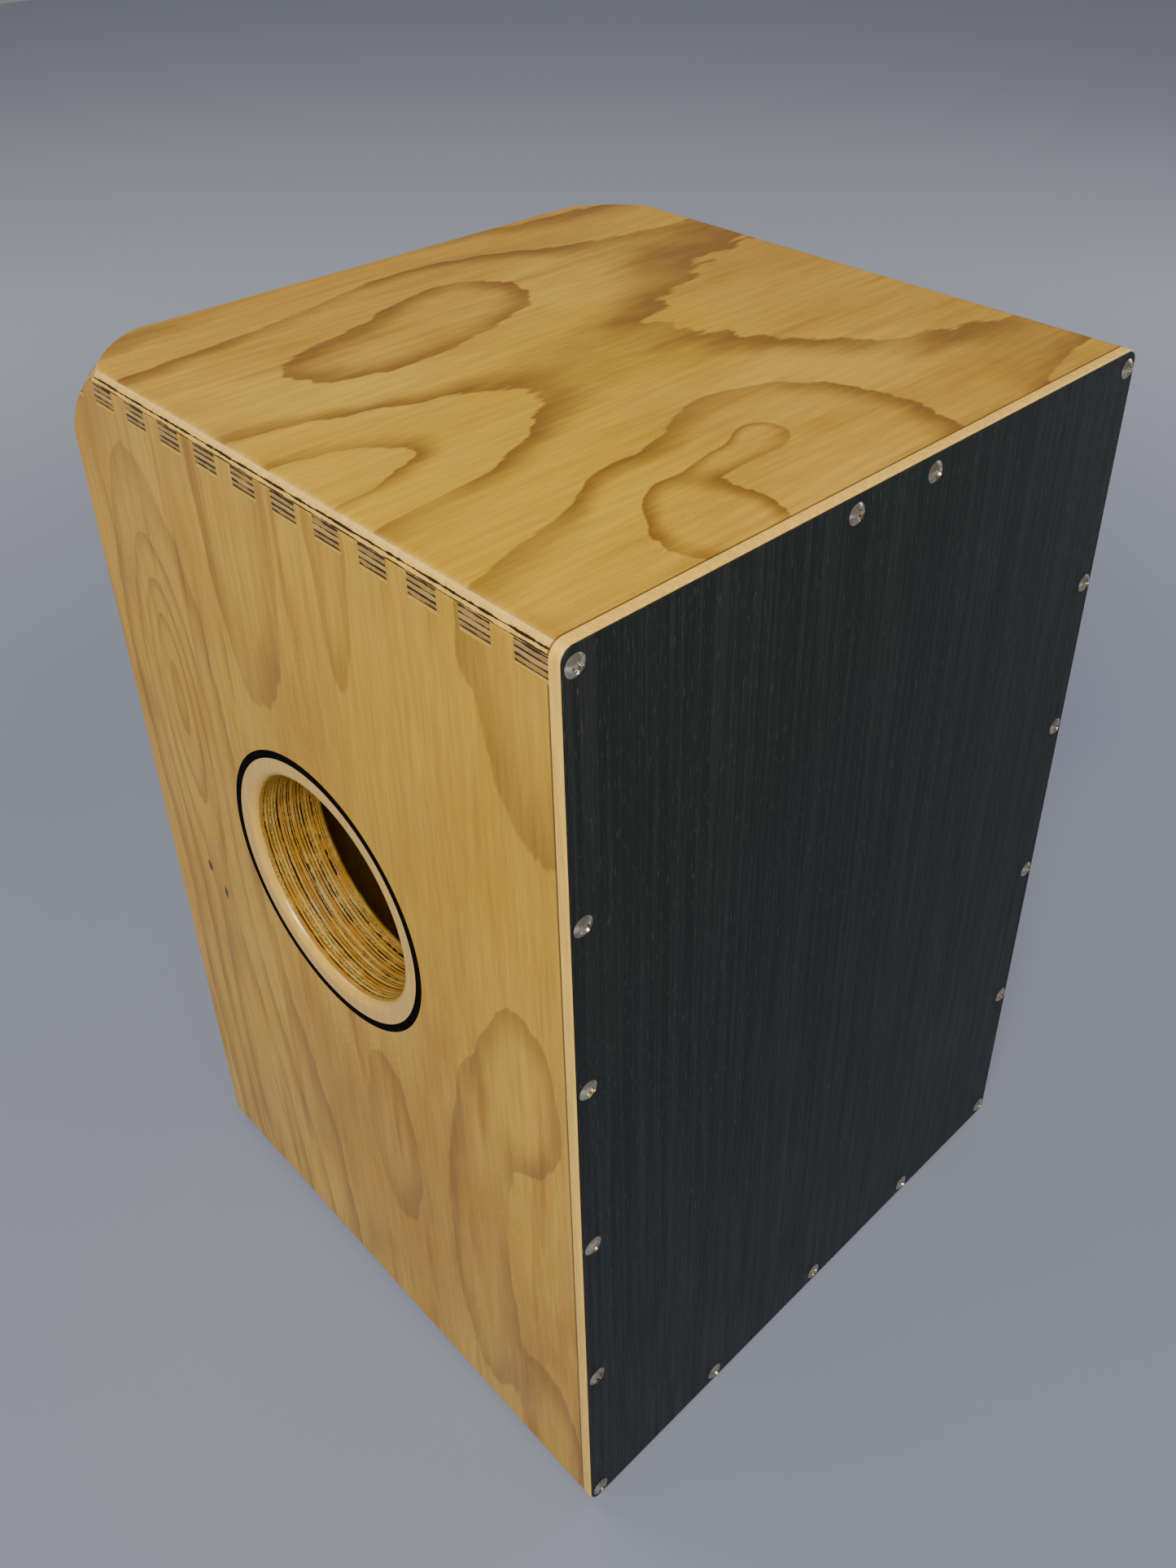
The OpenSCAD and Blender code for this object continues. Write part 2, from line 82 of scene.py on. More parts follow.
class Wires:
    """Adds nodes to one node tree and joins them up."""

    def __init__(self, tree):
        self.tree = tree

    def put(self, socket, value):
        if isinstance(value, bpy.types.NodeSocket):
            self.tree.links.new(value, socket)
        elif value is not None:
            socket.default_value = value

    def add(self, kind, inputs=None, **settings):
        node = self.tree.nodes.new("ShaderNode" + kind)
        for name, value in settings.items():
            setattr(node, name, value)
        for key, value in (inputs or {}).items():
            self.put(node.inputs[key], value)
        return node

    def math(self, operation, a, b=None, c=None, clamp=False):
        node = self.add("Math", operation=operation, use_clamp=clamp)
        for socket, value in zip(node.inputs, (a, b, c)):
            self.put(socket, value)
        return node.outputs[0]

    def vector(self, operation, a, b=None, scale=None):
        node = self.add("VectorMath", operation=operation)
        self.put(node.inputs[0], a)
        self.put(node.inputs[1], b)
        if scale is not None:
            self.put(node.inputs["Scale"], scale)
        return node.outputs["Value" if operation in ("DOT_PRODUCT", "LENGTH") else "Vector"]

    def ramp(self, value, low, high, to_low=0.0, to_high=1.0):
        """Value between low and high becomes to_low to to_high, with soft ends."""
        node = self.add("MapRange", interpolation_type="SMOOTHSTEP")
        names = ("Value", "From Min", "From Max", "To Min", "To Max")
        for name, given in zip(names, (value, low, high, to_low, to_high)):
            self.put(node.inputs[name], given)
        return node.outputs["Result"]

    def mix(self, factor, a, b, blend="MIX"):
        node = self.add("Mix", data_type="RGBA", blend_type=blend)
        for name, given in (("Factor", factor), ("A", a), ("B", b)):
            socket = [s for s in node.inputs if s.name == name and s.enabled][0]
            self.put(socket, given)
        return [s for s in node.outputs if s.enabled][0]

    def noise(self, place, scale=1.0, detail=2.0, roughness=0.5):
        node = self.add("TexNoise", {"Vector": place, "Scale": scale, "Detail": detail,
                                     "Roughness": roughness})
        return node.outputs["Fac"]

    def sway(self, place, scale=1.0, detail=2.0):
        """Noise that swings to both sides of zero."""
        return self.math("SUBTRACT", self.noise(place, scale, detail), 0.5)

    def flip(self, value):
        """Turns 0 into 1, and 1 into 0."""
        return self.math("SUBTRACT", 1.0, value)

    def stretch(self, place, long, wide, deep):
        """Makes the features of a texture this many millimetres long, wide and deep."""
        return self.vector("MULTIPLY", place, (1 / long, 1 / wide, 1 / deep))

    def shaded(self, color, shade):
        """Makes a colour darker or lighter by a plain factor."""
        grey = self.add("CombineColor", {0: shade, 1: shade, 2: shade})
        return self.mix(1.0, color, grey.outputs[0], "MULTIPLY")

    def group(self, tree, **inputs):
        node = self.tree.nodes.new("ShaderNodeGroup")
        node.node_tree = tree
        for name, value in inputs.items():
            self.put(node.inputs[name.replace("_", " ").capitalize()], value)
        return node.outputs


def new_group(name, inputs, outputs):
    """An empty shader group with named sockets; returns its wires, inputs and outputs."""
    tree = bpy.data.node_groups.new(name, "ShaderNodeTree")
    for label, kind, default in inputs:
        socket = tree.interface.new_socket(label, in_out="INPUT", socket_type="NodeSocket" + kind)
        if default is not None:
            socket.default_value = default
    for label, kind in outputs:
        tree.interface.new_socket(label, in_out="OUTPUT", socket_type="NodeSocket" + kind)
    start = tree.nodes.new("NodeGroupInput")
    end = tree.nodes.new("NodeGroupOutput")
    return tree, Wires(tree), start.outputs, end.inputs


# ---- effects shared by several materials; places are in millimetres, X along the grain ----

def build_hill():
    """One rounded rise in the level that the year rings are cut from."""
    tree, w, given, out = new_group(
        "Hill",
        [("Place", "Vector", None), ("Centre", "Vector", None), ("Size", "Vector", None),
         ("Height", "Float", 1.0)],
        [("Level", "Float")])
    offset = w.vector("SUBTRACT", given["Place"], given["Centre"])
    shaped = w.vector("DIVIDE", offset, given["Size"])
    squared = w.vector("DOT_PRODUCT", shaped, shaped)
    fall = w.math("EXPONENT", w.math("MULTIPLY", squared, -1.0))
    w.put(out["Level"], w.math("MULTIPLY", fall, given["Height"]))
    return tree


def build_figure():
    """Year rings of a peeled veneer: each band starts sharp and fades across the ring."""
    tree, w, given, out = new_group(
        "Wood figure",
        [("Place", "Vector", None), ("Level", "Float", 0.0), ("Wander", "Float", 0.3),
         ("Softness", "Float", 0.4), ("Ragged", "Float", 0.09)],
        [("Late wood", "Float"), ("Tone", "Float"), ("Streak", "Float")])
    broad = w.stretch(given["Place"], 95, 42, 100)
    torn = w.stretch(given["Place"], 16, 2.6, 100)
    wavy = w.stretch(given["Place"], 24, 10, 100)
    narrow = w.stretch(given["Place"], 150, 11, 100)
    level = w.math("MULTIPLY_ADD", w.sway(broad, detail=2.5), given["Wander"], given["Level"])
    level = w.math("MULTIPLY_ADD", w.sway(torn), given["Ragged"], level)
    level = w.math("MULTIPLY_ADD", w.sway(wavy, detail=1.5), 0.2, level)
    ring = w.math("FRACT", level)
    rise = w.ramp(ring, 0.0, 0.035)
    fade = w.flip(w.ramp(ring, 0.02, given["Softness"]))
    band = w.math("MULTIPLY", rise, fade)
    strength = w.ramp(w.noise(w.vector("ADD", broad, (7.3, 2.1, 0.0)), 1.3, 1.0), 0.25, 0.6, 0.5, 1.0)
    w.put(out["Late wood"], w.math("MULTIPLY", band, strength))
    w.put(out["Tone"], w.noise(w.vector("ADD", broad, (3.1, 8.7, 0.0)), 0.8, 3.0))
    w.put(out["Streak"], w.noise(narrow, 1.0, 3.0, 0.6))
    return tree


def build_fibre():
    """Fine fibres and short open pores that run along the grain."""
    tree, w, given, out = new_group(
        "Fibre",
        [("Place", "Vector", None), ("Fineness", "Float", 1.0)],
        [("Fibre", "Float"), ("Pores", "Float")])
    place = w.vector("SCALE", given["Place"], scale=given["Fineness"])
    threads = w.noise(w.stretch(place, 18, 0.55, 0.55), 1.0, 3.0, 0.65)
    streaks = w.noise(w.stretch(place, 60, 3.2, 3.2))
    w.put(out["Fibre"], w.math("MULTIPLY_ADD", streaks, 0.45, w.math("MULTIPLY", threads, 0.55)))
    dashes = w.noise(w.stretch(place, 3.4, 0.32, 0.32), 1.0, 1.0)
    w.put(out["Pores"], w.ramp(dashes, 0.66, 0.76))
    return tree


def build_plies():
    """Laminations: dark glue lines and every second ply in end grain, by depth in the sheet."""
    tree, w, given, out = new_group(
        "Plies",
        [("Place", "Vector", None), ("Depth", "Float", 0.0), ("Ply", "Float", 2.6),
         ("First", "Float", 1.5), ("Glue", "Float", 0.3), ("Uneven", "Float", 0.0)],
        [("Glue line", "Float"), ("End grain", "Float"), ("Tone", "Float")])
    depth = w.math("MULTIPLY_ADD", w.sway(given["Place"], 0.045), 0.5, given["Depth"])
    depth = w.math("MULTIPLY_ADD", w.sway(given["Place"], 0.5, 1.0), 0.16, depth)
    thickness = w.add("TexNoise", {"W": given["Depth"], "Scale": 0.42, "Detail": 1.0},
                      noise_dimensions="1D").outputs["Fac"]
    depth = w.math("MULTIPLY_ADD", w.math("SUBTRACT", thickness, 0.5), given["Uneven"], depth)
    count = w.math("DIVIDE", w.math("SUBTRACT", depth, given["First"]), given["Ply"])
    near = w.math("MULTIPLY", w.math("PINGPONG", count, 0.5), given["Ply"])
    patchy = w.noise(given["Place"], 0.13, 3.0, 0.6)
    half = w.math("MULTIPLY", given["Glue"], w.ramp(patchy, 0.35, 0.6, 0.3, 1.0))
    line = w.flip(w.ramp(w.math("DIVIDE", near, half), 0.5, 1.1))
    started = w.math("GREATER_THAN", count, -0.4)
    w.put(out["Glue line"], w.math("MULTIPLY", line, started))
    index = w.math("FLOOR", count)
    odd = w.math("PINGPONG", index, 1.0)
    w.put(out["End grain"], w.flip(odd))
    w.put(out["Tone"], w.add("TexWhiteNoise", {"W": index}, noise_dimensions="1D").outputs["Value"])
    return tree


def build_worn_edge():
    """Rubbed, slightly paler wood along the outer edges of a flat board."""
    tree, w, given, out = new_group(
        "Worn edge",
        [("Place", "Vector", None), ("Centre", "Vector", None), ("Half size", "Vector", None),
         ("Width", "Float", 1.0)],
        [("Wear", "Float")])
    offset = w.vector("ABSOLUTE", w.vector("SUBTRACT", given["Place"], given["Centre"]))
    inside = w.add("SeparateXYZ", {"Vector": w.vector("SUBTRACT", given["Half size"], offset)})
    nearest = w.math("MINIMUM", inside.outputs["X"], inside.outputs["Y"])
    patchy = w.noise(given["Place"], 0.12, 4.0, 0.65)
    reach = w.math("MULTIPLY", given["Width"], w.ramp(patchy, 0.4, 0.7, 0.1, 2.0))
    w.put(out["Wear"], w.flip(w.ramp(w.math("DIVIDE", nearest, reach), 0.3, 1.0)))
    return tree


def build_spot():
    """A soft-edged oval spot, for a pin knot, a tinted zone, or a zone of painted light and shade on the
    seat.
    """
    tree, w, given, out = new_group(
        "Spot",
        [("Place", "Vector", None), ("Centre", "Vector", None), ("Size", "Vector", None)],
        [("Mask", "Float")])
    shaped = w.vector("DIVIDE", w.vector("SUBTRACT", given["Place"], given["Centre"]), given["Size"])
    far = w.math("ADD", w.vector("LENGTH", shaped), w.sway(given["Place"], 0.6))
    w.put(out["Mask"], w.flip(w.ramp(far, 0.45, 1.0)))
    return tree


def build_dust():
    """Sparse fine specks of dust and handling marks, with a faint smear over them."""
    tree, w, given, out = new_group(
        "Dust",
        [("Place", "Vector", None), ("Density", "Float", 0.3)],
        [("Specks", "Float"), ("Smear", "Float")])
    grain = w.add("TexVoronoi", {"Vector": given["Place"], "Scale": 0.28, "Randomness": 1.0})
    chance = w.add("SeparateColor", {"Color": grain.outputs["Color"]}).outputs["Red"]
    lucky = w.math("LESS_THAN", chance, given["Density"])
    speck = w.flip(w.ramp(grain.outputs["Distance"], 0.03, 0.08))
    w.put(out["Specks"], w.math("MULTIPLY", speck, lucky))
    w.put(out["Smear"], w.noise(given["Place"], 0.016, 4.0, 0.6))
    return tree


HILL = build_hill()
FIGURE = build_figure()
FIBRE = build_fibre()
PLIES = build_plies()
WORN_EDGE = build_worn_edge()
SPOT = build_spot()
DUST = build_dust()


# ---- places on a piece, in millimetres ----

def panel_place(w, along, across, depth):
    """X runs along the grain, Y across it and Z into the piece; returns the place and its depth."""
    split = w.add("SeparateXYZ", {"Vector": w.add("TexCoord").outputs["Object"]})
    parts = []
    for axis, sign, start in (along, across, depth):
        scale = sign / MM
        parts.append(w.math("MULTIPLY_ADD", split.outputs[axis], scale, -start * scale))
    joined = w.add("CombineXYZ", dict(zip("XYZ", parts)))
    return joined.outputs[0], parts[2]


def plain_place(w):
    """The place for a material with no grain."""
    return w.vector("SCALE", w.add("TexCoord").outputs["Object"], scale=1 / MM)


def new_material(name):
    material = bpy.data.materials.new(name)
    material.use_nodes = True
    tree = material.node_tree
    shader = tree.nodes["Principled BSDF"]
    return material, Wires(tree), shader


def bump(w, shader, height, distance, strength=0.5):
    node = w.add("Bump", {"Height": height, "Distance": distance, "Strength": strength})
    w.put(shader.inputs["Normal"], node.outputs["Normal"])


def varnish(shader, weight, roughness):
    shader.inputs["Coat Weight"].default_value = weight
    shader.inputs["Coat Roughness"].default_value = roughness
    shader.inputs["Coat IOR"].default_value = 1.5


def fibre_ramp(w, fibre, low, high):
    """A value that follows the fibres, from low in the troughs to high on the crests."""
    return w.ramp(fibre["Fibre"], 0.3, 0.7, low, high)


# ---- wood ----

STRAW = (0.65, 0.395, 0.046, 1)
GOLD = (0.60, 0.340, 0.033, 1)
HONEY = (0.46, 0.230, 0.015, 1)
BAND = (0.200, 0.078, 0.005, 1)
AMBER = (0.62, 0.36, 0.012, 1)
RUSSET = (0.40, 0.185, 0.012, 1)
RESIN = (0.46, 0.20, 0.012, 1)
PALE = (0.84, 0.52, 0.10, 1)
GLUE = (0.016, 0.006, 0.002, 1)
JOINT = (0.12, 0.045, 0.006, 1)
END_GRAIN = (0.30, 0.185, 0.065, 1)
KNOT = (0.07, 0.025, 0.008, 1)


def spot(w, place, u, v, size_u, size_v):
    return w.group(SPOT, place=place, centre=(u, v, 0), size=(size_u, size_v, 1))["Mask"]


def figured_panel(name, along, across, depth, base, hills, first_ply, ply=2.25, glue=0.3,
                  edge_ply=1.2, wander=0.5, softness=0.42, ragged=0.09, contrast=0.5, streaks=0.5,
                  tone_and_light_zones=(), knots=(), board_joint=False, seed=0):
    """Varnished plywood whose face veneer shows rings cut from hills, and whose edges show plies.

    A hill is (along, across, size along, size across, height), in millimetres. A zone ends in its
    tint and its strength, and a knot has neither. The seat's zones are painted light and shade.
    """
    material, w, shader = new_material(name)
    place, deep = panel_place(w, along, across, depth)
    flat = w.vector("MULTIPLY", place, (1, 1, 0))
    level = base
    for u, v, size_u, size_v, height in hills:
        rise = w.group(HILL, place=flat, centre=(u, v, 0), size=(size_u, size_v, 1),
                       height=height)["Level"]
        level = w.math("ADD", rise, level)
    moved = w.vector("ADD", flat, (0, 0, seed))
    figure = w.group(FIGURE, place=moved, level=level, wander=wander, softness=softness,
                     ragged=ragged)
    fibre = w.group(FIBRE, place=place)
    color = w.mix(w.ramp(figure["Tone"], 0.3, 0.55), STRAW, GOLD)
    color = w.mix(w.ramp(figure["Tone"], 0.5, 0.75), color, HONEY)
    color = w.mix(w.ramp(figure["Streak"], 0.5, 0.72, 0.0, streaks), color, HONEY)
    color = w.mix(w.ramp(figure["Streak"], 0.54, 0.74, 0.0, streaks * 0.5), color, RUSSET)
    # on the seat these zones are painted light at the front left and painted shade at the back and right
    for *oval, tint, amount in tone_and_light_zones:
        color = w.mix(w.math("MULTIPLY", spot(w, flat, *oval), amount), color, tint)
    color = w.mix(w.math("MULTIPLY", figure["Late wood"], contrast), color, BAND)
    for oval in knots:
        color = w.mix(spot(w, flat, *oval), color, KNOT)
    plies = w.group(PLIES, place=place, depth=deep, ply=ply, first=first_ply, glue=glue)
    edge = w.mix(w.math("MULTIPLY", plies["Tone"], 0.3), PALE, GOLD)
    edge = w.mix(plies["Glue line"], edge, GLUE)
    color = w.mix(w.ramp(deep, edge_ply - 0.1, edge_ply + 0.1), color, edge)
    color = w.shaded(color, fibre_ramp(w, fibre, 0.80, 1.14))
    pores = w.math("MULTIPLY", fibre["Pores"], w.ramp(figure["Tone"], 0.35, 0.65, 0.15, 0.6))
    color = w.mix(pores, color, BAND)
    if board_joint:
        split = w.add("SeparateXYZ", {"Vector": w.add("TexCoord").outputs["Object"]})
        away = w.math("ABSOLUTE", w.math("SUBTRACT", split.outputs["Y"], Y_BODY))
        color = w.mix(w.ramp(away, 0.4 * MM, 1.2 * MM, 0.9, 0.0), color, JOINT)
    w.put(shader.inputs["Base Color"], color)
    dust = w.group(DUST, place=place, density=0.1)
    w.put(shader.inputs["Roughness"], w.ramp(dust["Smear"], 0.35, 0.7, 0.38, 0.52))
    shader.inputs["Specular IOR Level"].default_value = 0.28
    bump(w, shader, fibre["Fibre"], 0.1 * MM, 0.35)
    varnish(shader, 0.25, 0.18)
    return material


SEAT_HILLS = [
    # hollow by the left edge, with a tongue in it
    (-170, -15, 100, 45, -1.5), (-170, -25, 70, 20, -0.7),
    # wide hollow by the right edge
    (190, -25, 215, 95, -1.1),
    # island behind the middle
    (-80, 58, 50, 38, 0.8), (0, 85, 50, 45, 0.9), (-30, 60, 30, 35, 0.2),
    # mound by the front edge, with a hook and its knob
    (-110, -140, 70, 45, 1.1), (0, -110, 60, 65, 1.4),
    (-72, -130, 22, 40, 1.2), (-35, -105, 22, 9, 0.8), (-14, -98, 10, 8, 0.7),
    # shallow hollows along the back, and one in the front right corner
    (-170, 140, 110, 35, -1.2), (0, 180, 150, 50, -1.4), (170, 150, 120, 50, -1.3),
    (160, -165, 70, 25, -1.2),
]
LEFT_HILLS = [
    # cathedral arches towards the back, and their long foot
    (330, 107, 90, 28, 3.2), (350, 107, 50, 12, 1.2), (140, 105, 160, 30, 2.3), (0, 80, 160, 45, 2.2),
    # two tongues that hang from the top
    (490, 28, 120, 28, 1.5), (480, -36, 75, 13, 1.2),
    # front top corner, and an eye with a tail below it
    (480, -145, 90, 40, 1.2), (265, -125, 45, 22, 1.3), (215, -95, 60, 20, 0.6),
    # soft upright bands under the port
    (150, -25, 70, 20, 1.1), (110, -85, 90, 22, 1.2), (30, -130, 60, 22, 1.1),
]
RIGHT_HILLS = [
    (230, 40, 190, 42, 5.4), (250, 44, 90, 16, 1.4), (420, -70, 90, 30, 1.8),
    (330, -105, 120, 26, -1.4), (90, -90, 140, 34, 2.2), (40, 110, 120, 30, -1.6),
    (440, 120, 80, 26, 1.2),
]
BACK_HILLS = [
    (250, -20, 210, 58, 5.2), (270, -14, 80, 18, 1.2), (90, 105, 150, 30, -1.5),
    (390, 100, 110, 32, 1.9), (340, -120, 160, 26, 1.4), (60, -110, 90, 28, -1.2),
]
BASE_HILLS = [(0, 0, 200, 60, 3.4), (90, 90, 120, 40, -1.3), (-90, -100, 90, 30, 1.2)]

materials = {}
# the seat's amber zones at the front left and middle are painted light; its russet zones at the back and
# right are painted shade
materials["seat"] = figured_panel(
    "seat_veneer", ALONG_X, ALONG_Y, ("Z", -1, Z_SEAT), base=1.6, hills=SEAT_HILLS,
    first_ply=2.7, ply=1.7, glue=0.55, edge_ply=0.7, wander=0.26, contrast=0.85, board_joint=True,
    tone_and_light_zones=[(-120, -60, 120, 110, AMBER, 0.6), (0, 0, 90, 60, AMBER, 0.6),
           (0, 150, 200, 60, RUSSET, 0.35), (130, 0, 80, 140, RUSSET, 0.25)])
materials["left"] = figured_panel(
    "left_side_veneer", ALONG_Z, ALONG_Y, FROM_LEFT, base=1.5, hills=LEFT_HILLS, first_ply=1.5,
    wander=0.3, softness=0.55, ragged=0.05, streaks=0.9, board_joint=True,
    tone_and_light_zones=[(390, -85, 150, 110, AMBER, 0.6), (120, -40, 130, 100, RUSSET, 0.45)],
    knots=[(227, 115, 4.5, 2.2), (217, 103, 5, 2)])
materials["right"] = figured_panel(
    "right_side_veneer", ALONG_Z, ALONG_Y, ("X", -1, BOX_W / 2), base=1.25, hills=RIGHT_HILLS,
    first_ply=1.5, softness=0.5, streaks=0.8, board_joint=True, knots=[(140, -30, 5, 2.5)], seed=300)
materials["back"] = figured_panel(
    "back_veneer", ALONG_Z, ALONG_X, ("Y", -1, Y_BACK), base=1.25, hills=BACK_HILLS,
    first_ply=0.75, ply=1.5, edge_ply=0.6, softness=0.5, contrast=0.55, streaks=0.7, seed=600)
materials["base"] = figured_panel(
    "bottom_veneer", ALONG_X, ALONG_Y, ("Z", 1, Z_BASE), base=1.25, hills=BASE_HILLS,
    first_ply=1.5, contrast=0.6, seed=900)


def sawn_plies(w, place, deep, pale, dark, stripes, **layers):
    """Plies cut across: smooth long grain between crumbly end grain.

    Returns the ply lines, the crumbs and the colour.
    """
    plies = w.group(PLIES, place=place, depth=deep, **layers)
    crumbs = w.noise(w.stretch(place, 1.25, 1.25, 0.625), 1.0, 3.0, 0.7)
    if not stripes:
        return plies, crumbs, pale
    rough_ply = w.mix(w.ramp(crumbs, 0.38, 0.62), dark, pale)
    color = w.mix(w.math("MULTIPLY", plies["End grain"], stripes), pale, rough_ply)
    return plies, crumbs, color


def resin_stained(w, place, color, amount):
    """Brown patches where resin has soaked into cut plies."""
    patches = w.noise(w.stretch(place, 20, 20, 10 / 3), 1.0, 3.0)
    return w.mix(w.ramp(patches, 0.45, 0.62, 0.0, amount), color, RESIN)


def ply_edge(name, along, across, depth, ply, first, glue=0.3, uneven=0.0, pale=PALE,
             dark=END_GRAIN, stripes=0.75, resin=0.0, gloss=0.3, coat=0.5, last=0.0):
    """Plywood seen mostly on its cut edges; past the last depth it is plain face veneer."""
    material, w, shader = new_material(name)
    place, deep = panel_place(w, along, across, depth)
    plies, crumbs, color = sawn_plies(w, place, deep, pale, dark, stripes,
                                      ply=ply, first=first, glue=glue, uneven=uneven)
    fibre = w.group(FIBRE, place=place, fineness=1.4)
    color = w.mix(w.math("MULTIPLY", plies["Tone"], 0.5), color, HONEY)
    color = w.shaded(color, fibre_ramp(w, fibre, 0.75, 1.12))
    if resin:
        color = resin_stained(w, place, color, resin)
    color = w.mix(plies["Glue line"], color, GLUE)
    if last:
        color = w.mix(w.ramp(deep, last - 0.4, last + 0.4), color, STRAW)
    w.put(shader.inputs["Base Color"], color)
    w.put(shader.inputs["Roughness"], fibre_ramp(w, fibre, gloss, gloss + 0.2))
    relief = w.math("SUBTRACT", crumbs, w.math("MULTIPLY", plies["Glue line"], 0.8))
    bump(w, shader, relief, 0.4 * MM, 0.5)
    varnish(shader, coat, 0.12)
    return material


# the wall of the port, which the ring and the two backings share
PORT_PLIES = {"ply": 1.7, "first": 3.4, "glue": 0.36, "uneven": 2.4}
PORT_PALE = (0.66, 0.42, 0.085, 1)
PORT_DARK = (0.18, 0.085, 0.015, 1)
PORT_STRIPES = 0.85
PORT_RESIN = 0.8

materials["fingers"] = ply_edge(
    "finger_ends", ALONG_Y, ALONG_X, ("Z", -1, Z_JOINT), ply=2.4, first=0.7, glue=0.70, uneven=1.4,
    pale=(0.56, 0.35, 0.09, 1), dark=(0.26, 0.145, 0.035, 1), coat=0.1, gloss=0.5, last=8.3)
materials["port"] = ply_edge(
    "port_wall", ALONG_Y, ALONG_Z, FROM_LEFT, pale=PORT_PALE, dark=PORT_DARK,
    stripes=PORT_STRIPES, resin=PORT_RESIN, gloss=0.2, coat=0.6, **PORT_PLIES)
materials["board_edge"] = ply_edge(
    "board_edge", ALONG_Z, ALONG_X, ("Y", 1, Y_CORE), ply=9.0, first=8.0, glue=0.1,
    pale=(1.0, 0.61, 0.09, 1), stripes=0.0, coat=0.35)
materials["blocks"] = ply_edge(
    "glue_blocks", ALONG_Z, ALONG_X, ALONG_Y, ply=2.6, first=1.0, coat=0.0, gloss=0.55)


def pale_ring():
    """The plain light ring round the port: long grain on its face, plies on its wall."""
    material, w, shader = new_material("port_ring_wood")
    place, deep = panel_place(w, ALONG_Z, ALONG_Y, FROM_LEFT)
    fibre = w.group(FIBRE, place=place)
    plies, _, wall = sawn_plies(w, place, deep, PORT_PALE, PORT_DARK, PORT_STRIPES, **PORT_PLIES)
    wall = resin_stained(w, place, wall, PORT_RESIN)
    wall = w.mix(plies["Glue line"], wall, GLUE)
    face = w.mix(fibre_ramp(w, fibre, 0.0, 1.0), (0.68, 0.40, 0.06, 1), (0.80, 0.50, 0.09, 1))
    w.put(shader.inputs["Base Color"], w.mix(w.ramp(deep, 2.8, 3.4), face, wall))
    w.put(shader.inputs["Roughness"], fibre_ramp(w, fibre, 0.24, 0.36))
    bump(w, shader, fibre["Fibre"], 0.1 * MM, 0.3)
    varnish(shader, 0.5, 0.1)
    return material


materials["ring"] = pale_ring()

OPEN_PORE = (0.075, 0.078, 0.074, 1)
DUST_GREY = (0.2, 0.2, 0.19, 1)
BARE_EDGE = (0.16, 0.10, 0.05, 1)


def black_wood(name, stain, lighter, roughness, aged, coat, shine):
    """Black stained veneer; the more aged it is, the more its pores and rubbed edges show."""
    material, w, shader = new_material(name)
    place, _ = panel_place(w, ALONG_Z, ALONG_X, ALONG_Y)
    fibre = w.group(FIBRE, place=place, fineness=0.8)
    dust = w.group(DUST, place=place, density=0.12)
    streaks = w.noise(w.stretch(place, 150, 1.5, 1.5), 1.0, 3.0, 0.6)
    color = w.mix(w.ramp(streaks, 0.35, 0.7), stain, lighter)
    if aged:
        ticks = w.noise(w.stretch(place, 7, 0.45, 0.45), 1.0, 1.0)
        color = w.mix(w.math("MULTIPLY", w.ramp(ticks, 0.62, 0.76), aged), color, OPEN_PORE)
    color = w.mix(w.math("MULTIPLY", dust["Specks"], 0.5), color, DUST_GREY)
    if aged:
        centre = ((Z_BASE + Z_SEAT) / 2 / MM, 0, 0)
        half_size = ((Z_SEAT - Z_BASE) / 2 / MM, BOX_W / 2 / MM, 0)
        wear = w.group(WORN_EDGE, place=place, centre=centre, half_size=half_size, width=0.5)["Wear"]
        color = w.mix(w.math("MULTIPLY", wear, aged), color, BARE_EDGE)
    w.put(shader.inputs["Base Color"], color)
    w.put(shader.inputs["Roughness"], fibre_ramp(w, fibre, roughness - 0.06, roughness + 0.1))
    shader.inputs["Specular IOR Level"].default_value = shine
    bump(w, shader, fibre["Fibre"], 0.15 * MM, 0.5)
    varnish(shader, coat, 0.25)
    return material


materials["black_face"] = black_wood(
    "black_stained_face", stain=(0.0145, 0.0160, 0.0155, 1), lighter=(0.0240, 0.0255, 0.0240, 1),
    roughness=0.46, aged=0.55, coat=0.02, shine=0.10)
materials["black_inlay"] = black_wood(
    "black_inlay", stain=(0.0015, 0.0015, 0.0015, 1), lighter=(0.0030, 0.0030, 0.0028, 1),
    roughness=0.6, aged=0.0, coat=0.0, shine=0.02)


def sanded_hardwood():
    material, w, shader = new_material("sanded_hardwood")
    place, _ = panel_place(w, ALONG_X, ALONG_Y, ALONG_Z)
    fibre = w.group(FIBRE, place=place, fineness=1.3)
    flecks = w.noise(w.stretch(place, 4, 0.8, 0.8), 1.0, 1.0)
    color = w.mix(fibre_ramp(w, fibre, 0.0, 1.0), (0.40, 0.22, 0.10, 1), (0.54, 0.33, 0.17, 1))
    color = w.mix(w.ramp(flecks, 0.62, 0.72, 0.0, 0.5), color, (0.24, 0.11, 0.045, 1))
    w.put(shader.inputs["Base Color"], color)
    w.put(shader.inputs["Roughness"], fibre_ramp(w, fibre, 0.5, 0.65))
    bump(w, shader, fibre["Fibre"], 0.1 * MM, 0.4)
    return material


# ---- metal, rubber and plastic ----

def metal(name, color, worn, roughness, brush):
    """Plated or turned metal with fine brushing and dull patches."""
    material, w, shader = new_material(name)
    place = plain_place(w)
    lines = w.noise(w.vector("MULTIPLY", place, brush))
    patches = w.noise(place, 0.35, 3.0)
    w.put(shader.inputs["Base Color"], w.mix(w.ramp(patches, 0.4, 0.7, 0.0, 0.8), color, worn))
    rough = w.ramp(patches, 0.35, 0.7, roughness, roughness + 0.18)
    w.put(shader.inputs["Roughness"], w.math("MULTIPLY_ADD", lines, 0.08, rough))
    shader.inputs["Metallic"].default_value = 1.0
    bump(w, shader, lines, 0.04 * MM, 0.4)
    return material


